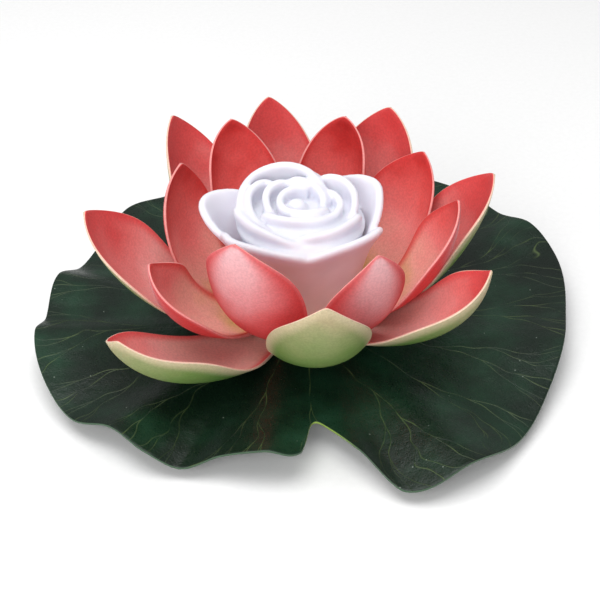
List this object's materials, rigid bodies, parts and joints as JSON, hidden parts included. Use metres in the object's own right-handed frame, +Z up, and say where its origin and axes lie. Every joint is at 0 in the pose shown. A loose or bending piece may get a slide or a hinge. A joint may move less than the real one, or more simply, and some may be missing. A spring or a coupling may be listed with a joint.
{
  "type": "floating pool light",
  "caption": "Lotus-shaped floating pool light: foam petals on a lily pad with a lift-out rose lamp, twist-off battery door and slide switch.",
  "frame": {"origin": "centre of the float disc's flat underside, on the axis of the socket", "axes": "+Z up through the lamp; the notch of the lily pad faces -Y"},
  "size_m": [0.2793, 0.2755, 0.1004],
  "materials": {
    "float_foam": "closed-cell foam, fine grain",
    "leaf_sheet": "printed and embossed sheet, semi-gloss",
    "outer_foam": "heat-formed foam sheet, sprayed red to pale green",
    "inner_foam": "heat-formed foam sheet, sprayed deep red to yellow-green",
    "white_plastic": "moulded, satin",
    "shade_plastic": "translucent soft white moulding",
    "seal_rubber": "soft black rubber",
    "steel": "zinc plated",
    "cell_steel": "nickel plated",
    "contact_metal": "plated spring strip",
    "board": "solder-resist green",
    "black_plastic": "moulded black",
    "resistor_ceramic": "ceramic body",
    "led_lens": "clear-diffused epoxy"
  },
  "bodies": {
    "flower": {"float_disc": "float_foam", "lily_pad": "leaf_sheet", "outer_petals": "outer_foam", "inner_petals": "inner_foam", "lamp_socket": "white_plastic", "socket_ring": "white_plastic"},
    "lamp": {"rose_shade": "shade_plastic", "shade_seal": "seal_rubber", "lamp_housing": "white_plastic", "base_plate": "white_plastic", "base_screws": "steel", "button_cells": "cell_steel", "contact_plus": "contact_metal", "contact_minus": "contact_metal", "circuit_board": "board", "controller_chip": "black_plastic", "resistor": "resistor_ceramic", "led": "led_lens", "led_leads": "contact_metal", "switch_body": "steel"},
    "battery_door": {"battery_door": "white_plastic", "door_gasket": "seal_rubber"},
    "switch_slider": {"switch_slider": "black_plastic"}
  },
  "joints": [
    {"name": "lamp_lift", "type": "slide", "parent": "flower", "child": "lamp", "axis": [0, 0, 1], "range_m": [0, 0.11]},
    {"name": "battery_door_turn", "type": "hinge", "parent": "lamp", "child": "battery_door", "pos_m": [-0.006, 0, 0.006], "axis": [0, 0, -1], "range_deg": [0, 45]},
    {"name": "switch_slide", "type": "slide", "parent": "lamp", "child": "switch_slider", "axis": [0, 1, 0], "range_m": [0, 0.002]}
  ]
}
